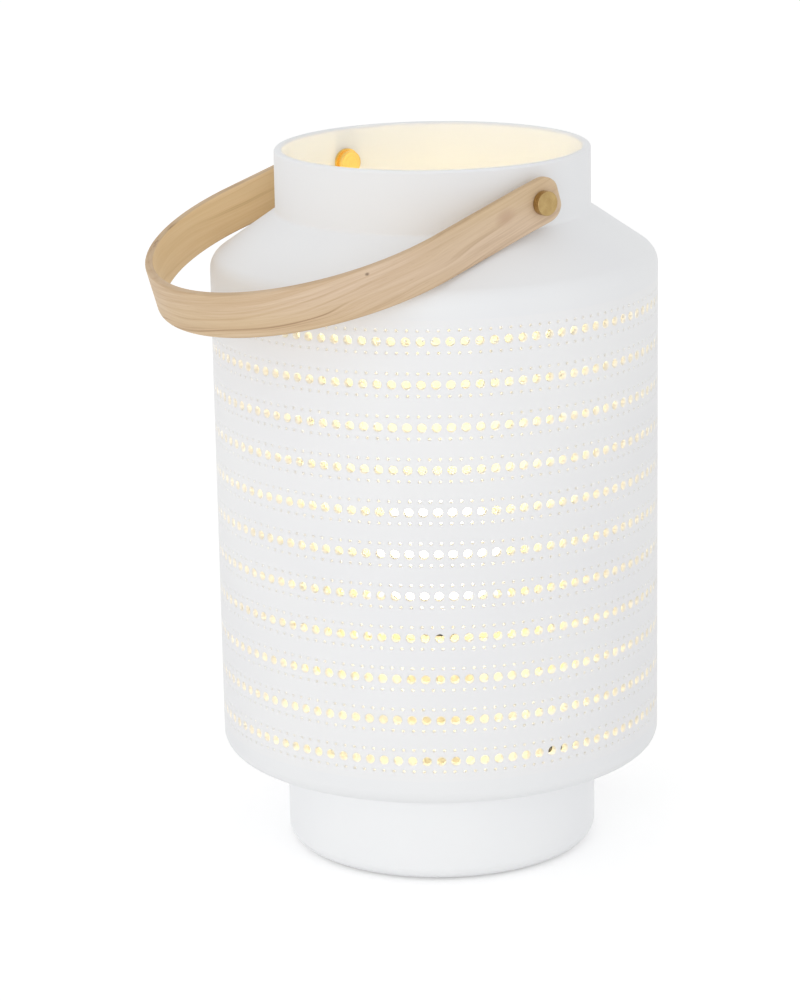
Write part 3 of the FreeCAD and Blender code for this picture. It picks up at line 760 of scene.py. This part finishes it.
def wood_material():
    """Pale bent wood: long fibres, growth rings cut at a slant, short pores, a soft knot and a peck.

    Growth rings and dark lines fade out towards the right-hand end.
    """
    n = Nodes("ash_wood")
    grain = n.add("ShaderNodeAttribute", attribute_name="grain").outputs["Vector"]
    along, across, through = n.add("ShaderNodeSeparateXYZ", {"Vector": grain}).outputs
    drift = n.noise(n.place((7, 30, 30), source=grain), scale=1.0, detail=3)
    bend = n.math("MULTIPLY_ADD", n.math("SUBTRACT", drift, 0.5), 0.016, across)
    slanted = n.math("MULTIPLY_ADD", along, 0.060, bend)
    lined = n.add("ShaderNodeCombineXYZ", {"X": n.math("MULTIPLY", along, 11.0),
                                           "Y": n.math("MULTIPLY", slanted, 900.0),
                                           "Z": n.math("MULTIPLY", through, 300.0)})
    rings = n.noise(lined.outputs["Vector"], scale=1.0, detail=4, roughness=0.6)
    patch = n.noise(n.place((12, 90, 60), (3, 1, 2), grain), scale=1.0, detail=2)
    fibre = n.noise(n.place((60, 3000, 1200), source=grain), scale=1.0, detail=4, roughness=0.65)
    broad = n.noise(n.place((10, 70, 60), (1, 5, 2), grain), scale=1.0, detail=3)
    pores = n.noise(n.place((230, 5200, 2500), (4, 2, 7), grain), scale=1.0, detail=2)
    warm = n.mix(n.between(broad, 0.35, 0.65), linear(213, 187, 151), linear(221, 197, 171))
    plainer = n.between(along, 0.02, 0.11, out_low=0.30)
    streak = n.math("MULTIPLY", plainer, n.between(rings, 0.40, 0.60, out_high=0.60))
    colour = n.mix(streak, warm, linear(196, 164, 126))
    dark_line = n.math("MULTIPLY", n.between(rings, 0.58, 0.67), n.between(patch, 0.42, 0.58))
    dark_line = n.math("MULTIPLY", plainer, dark_line)
    colour = n.mix(n.math("MULTIPLY", dark_line, 0.80), colour, linear(152, 118, 86))
    colour = n.mix(n.between(fibre, 0.45, 0.8, out_high=0.35), colour, linear(184, 152, 116))
    pore = n.between(pores, 0.68, 0.76)
    colour = n.mix(n.math("MULTIPLY", pore, 0.35), colour, linear(146, 112, 82))
    for mark, reach, depth, shade_colour in wood_marks:
        offset = n.add("ShaderNodeVectorMath", {0: grain, 1: mark}, operation="SUBTRACT")
        scaled = n.place([1 / size for size in reach], source=offset.outputs["Vector"])
        away = n.add("ShaderNodeVectorMath", {0: scaled}, operation="LENGTH").outputs["Value"]
        colour = n.mix(n.between(away, 1.0, 0.2, out_high=depth), colour, shade_colour)
    # painted warm light: the strip's inner face is made lighter and more golden than the rest of the
    # wood
    painted_inner_light = n.between(through, -strip_thickness * 0.40, -strip_thickness * 0.48, out_high=0.55)
    colour = n.mix(painted_inner_light, colour, linear(242, 208, 150))
    edge = n.between(n.math("ABSOLUTE", across), strip_width * 0.46, strip_width * 0.5)
    colour = n.mix(edge, colour, linear(240, 236, 230), "MULTIPLY")
    n.set(Base_Color=colour)
    n.set(Roughness=n.between(fibre, 0.2, 0.8, out_low=0.50, out_high=0.64))
    hollows = n.math("ADD", pore, n.math("MULTIPLY", dark_line, 0.5))
    relief = n.math("SUBTRACT", n.math("MULTIPLY", fibre, 0.5), hollows)
    n.set(Normal=n.bump(relief, strength=0.22, distance=0.10 * MM))
    return n.material


def brass_material(name, turned_with_painted_light, colour, dark):
    """Solid brass: plain, or with faces turned about the pivot and painted warm lamplight that makes
    it brighter inside the neck.
    """
    n = Nodes(name)
    place = n.place(offset=(0, 0, -pivot_z if turned_with_painted_light else 0))
    stain = n.noise(place, scale=320)
    if turned_with_painted_light:
        parts = n.add("ShaderNodeSeparateXYZ", {"Vector": place})
        y, z = parts.outputs["Y"], parts.outputs["Z"]
        radius = n.math("SQRT", n.math("ADD", n.math("MULTIPLY", y, y), n.math("MULTIPLY", z, z)))
        turned = n.add("ShaderNodeCombineXYZ", {"X": n.math("MULTIPLY", radius, 14000.0),
                                                "Y": n.math("MULTIPLY", parts.outputs["X"], 9000.0)})
        lines = n.noise(turned.outputs["Vector"], scale=1.0, roughness=0.6)
    else:
        lines = n.noise(place, scale=5200)
    tone = n.mix(n.between(stain, 0.3, 0.7), dark, colour)
    if turned_with_painted_light:
        # painted warm lamplight: brass inside the neck is made brighter and more golden, where the
        # bulb lights it
        inside = n.between(n.math("ABSOLUTE", parts.outputs["X"]), neck_r, neck_r - wall)
        tone = n.mix(inside, tone, linear(252, 214, 128))
    n.set(Base_Color=tone)
    n.shader.inputs["Metallic"].default_value = 1.0
    n.set(Roughness=n.between(lines, 0.3, 0.7, out_low=0.20, out_high=0.34))
    n.set(Normal=n.bump(lines, strength=0.12, distance=0.03 * MM))
    return n.material


def metal_material(name, colour, dark, smooth, rough):
    """Plated or plain metal with faint stains and scratches."""
    n = Nodes(name)
    stain = n.noise(n.place(), scale=240)
    scratch = n.noise(n.place((300, 300, 5000)), scale=1.0)
    n.set(Base_Color=n.mix(n.between(stain, 0.3, 0.7), dark, colour))
    n.shader.inputs["Metallic"].default_value = 1.0
    n.set(Roughness=n.between(scratch, 0.3, 0.7, smooth, rough))
    n.set(Normal=n.bump(scratch, strength=0.08, distance=0.03 * MM))
    return n.material


def moulded_material(name, colour, dark, smooth, rough):
    """Moulded or pressed material with a fine tooth."""
    n = Nodes(name)
    place = n.place()
    cloud = n.noise(place, scale=90)
    tooth = n.noise(place, scale=1800)
    n.set(Base_Color=n.mix(n.between(cloud, 0.3, 0.7), dark, colour))
    n.set(Roughness=n.between(tooth, 0.3, 0.7, smooth, rough))
    n.set(Normal=n.bump(tooth, strength=0.15, distance=0.06 * MM))
    return n.material


def felt_material():
    """Pressed felt: tangled short fibres and a soft sheen."""
    n = Nodes("felt")
    place = n.place()
    tangle = n.noise(place, scale=1400, detail=5, roughness=0.7, distortion=1.5)
    cloud = n.noise(place, scale=60)
    n.set(Base_Color=n.mix(n.between(cloud, 0.3, 0.7), linear(58, 58, 60), linear(78, 78, 80)))
    n.shader.inputs["Roughness"].default_value = 0.95
    n.shader.inputs["Sheen Weight"].default_value = 0.3
    n.set(Normal=n.bump(tangle, strength=0.6, distance=0.30 * MM))
    return n.material


bulb_colour = (1.0, 0.84, 0.54, 1.0)
bulb_strength = 11.8


def opal_material():
    """Opal globe, lit from inside, a little dimmer towards its neck."""
    n = Nodes("opal_glass")
    parts = n.add("ShaderNodeSeparateXYZ", {"Vector": n.place()})
    low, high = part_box("bulb_globe")
    glow = n.between(parts.outputs["Z"], low.z, low.z + (high.z - low.z) * 0.4, 0.8, 1.0)
    n.shader.inputs["Base Color"].default_value = linear(250, 246, 238)
    n.shader.inputs["Roughness"].default_value = 0.25
    n.shader.inputs["Emission Color"].default_value = bulb_colour
    n.set(Emission_Strength=n.math("MULTIPLY", glow, bulb_strength))
    return n.material


def make_materials():
    """One material for each slot of the record."""
    white = linear(236, 234, 228)
    steel = linear(188, 188, 190)
    metals = {                  # colour, darker colour, least and most roughness
        "plated_steel": (steel, linear(160, 160, 163), 0.25, 0.42),
        "cap_metal": (linear(206, 206, 209), linear(184, 184, 188), 0.2, 0.35),
        "tip_metal": (linear(170, 170, 174), linear(140, 140, 144), 0.3, 0.5),
    }
    moulded = {                 # the same
        "base_plate": (linear(52, 52, 52), linear(40, 40, 40), 0.6, 0.8),
        "rubber": (linear(104, 100, 96), linear(90, 87, 84), 0.6, 0.8),
        "stem_steel": (white, linear(228, 226, 220), 0.4, 0.55),
        "holder_plastic": (white, linear(229, 226, 219), 0.35, 0.5),
        "ceramic_insert": (white, linear(226, 223, 214), 0.5, 0.7),
        "black_insulator": (linear(30, 30, 33), linear(22, 22, 24), 0.1, 0.2),
        "collar_plastic": (linear(242, 240, 236), linear(234, 232, 227), 0.25, 0.4),
        "led_board": (linear(240, 240, 240), linear(230, 230, 230), 0.3, 0.5),
        "led_chips": (linear(250, 214, 96), linear(240, 200, 80), 0.3, 0.5),
    }
    turned_brass = (linear(190, 163, 112), linear(172, 143, 94))
    plain_brass = (linear(246, 208, 122), linear(232, 190, 104))
    return {
        "porcelain": porcelain_material(),
        "ash_wood": wood_material(),
        "brass_polished": brass_material("brass_polished", True, *turned_brass),
        "brass_plain": brass_material("brass_plain", False, *plain_brass),
        "felt": felt_material(),
        "opal_glass": opal_material(),
        **{name: metal_material(name, *look) for name, look in metals.items()},
        **{name: moulded_material(name, *look) for name, look in moulded.items()},
    }


def dress(materials):
    """Gives every piece and every solid of the frame its slot's material."""
    slots = {entry["node"]: entry["material_slot"] for entry in frame["record"]["subparts"]}
    for node, solid in frame["nodes"].items():
        solid.data.materials.clear()
        solid.data.materials.append(materials[slots[node]])
    for piece in bpy.data.objects:
        if "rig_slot" in piece:
            piece.data.materials.clear()
            piece.data.materials.append(materials[piece["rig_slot"]])


# ---------------------------------------------------------------- stage and light

horizon_strength = 0.97
zenith_strength = 0.80
floor_glow = 0.2
key_power = 4.2
key_size = 1.2
key_place = (-0.6, -1.5, 0.25)  # as the camera heads: to its right, away from it, up
floor_size = 12


def make_world():
    """Pale surround, a little dimmer overhead. It shows as white to the camera and in reflections."""
    world = bpy.data.worlds.new("surround")
    bpy.context.scene.world = world
    world.use_nodes = True
    tree = world.node_tree
    tree.nodes.clear()
    path = tree.nodes.new("ShaderNodeLightPath")
    seen = tree.nodes.new("ShaderNodeMath")
    seen.operation = "MAXIMUM"
    seen_through = tree.nodes.new("ShaderNodeMath")
    seen_through.operation = "MAXIMUM"
    tree.links.new(path.outputs["Is Camera Ray"], seen.inputs[0])
    tree.links.new(path.outputs["Is Glossy Ray"], seen.inputs[1])
    tree.links.new(seen.outputs[0], seen_through.inputs[0])
    tree.links.new(path.outputs["Is Transmission Ray"], seen_through.inputs[1])
    light = tree.nodes.new("ShaderNodeBackground")
    direction = tree.nodes.new("ShaderNodeTexCoord")
    parts = tree.nodes.new("ShaderNodeSeparateXYZ")
    height = tree.nodes.new("ShaderNodeMapRange")
    height.inputs["To Min"].default_value = horizon_strength
    height.inputs["To Max"].default_value = zenith_strength
    tree.links.new(direction.outputs["Generated"], parts.inputs[0])
    tree.links.new(parts.outputs["Z"], height.inputs["Value"])
    tree.links.new(height.outputs["Result"], light.inputs["Strength"])
    white = tree.nodes.new("ShaderNodeBackground")
    white.inputs["Strength"].default_value = 1.0
    for background in (light, white):
        background.inputs["Color"].default_value = (1.0, 1.0, 1.0, 1.0)
    mix = tree.nodes.new("ShaderNodeMixShader")
    tree.links.new(seen_through.outputs[0], mix.inputs[0])
    tree.links.new(light.outputs[0], mix.inputs[1])
    tree.links.new(white.outputs[0], mix.inputs[2])
    output = tree.nodes.new("ShaderNodeOutputWorld")
    tree.links.new(mix.outputs[0], output.inputs["Surface"])


def make_floor():
    """Plain white floor. It adds a little of its own white for the camera and keeps the shadow."""
    bpy.ops.mesh.primitive_plane_add(size=floor_size, location=(0, 0, 0))
    floor = bpy.context.object
    floor.name = "floor"
    n = Nodes("floor")
    n.shader.inputs["Base Color"].default_value = linear(252, 252, 252)
    n.shader.inputs["Roughness"].default_value = 0.9
    n.shader.inputs["Specular IOR Level"].default_value = 0.0
    path = n.add("ShaderNodeLightPath").outputs
    seen = n.math("MAXIMUM", path["Is Camera Ray"], path["Is Glossy Ray"])
    seen = n.math("MAXIMUM", seen, path["Is Transmission Ray"])
    glow = n.add("ShaderNodeEmission", {"Strength": n.math("MULTIPLY", seen, floor_glow)})
    both = n.add("ShaderNodeAddShader")
    n.tree.links.new(n.shader.outputs[0], both.inputs[0])
    n.tree.links.new(glow.outputs[0], both.inputs[1])
    n.tree.links.new(both.outputs[0], n.output.inputs["Surface"])
    floor.data.materials.append(n.material)


def make_key():
    """Large soft lamp in front of the object, on the camera's left."""
    data = bpy.data.lights.new("key", "AREA")
    data.shape = "DISK"
    data.size = key_size
    data.energy = key_power
    key = bpy.data.objects.new("key", data)
    heading = Matrix.Rotation(camera_heading, 3, "Z")
    place = heading @ Vector(key_place)
    target = Vector((0, 0, rim_z / 2))
    turn = (target - place).to_track_quat("-Z", "Y").to_matrix().to_4x4()
    key.matrix_world = Matrix.Translation(place) @ turn
    bpy.context.collection.objects.link(key)


# ---------------------------------------------------------------- making

make_camera()
make_porcelain()
make_handle()
dress(make_materials())
make_world()
make_floor()
make_key()
bpy.context.scene.view_settings.view_transform = "Standard"

bpy.context.view_layer.update()
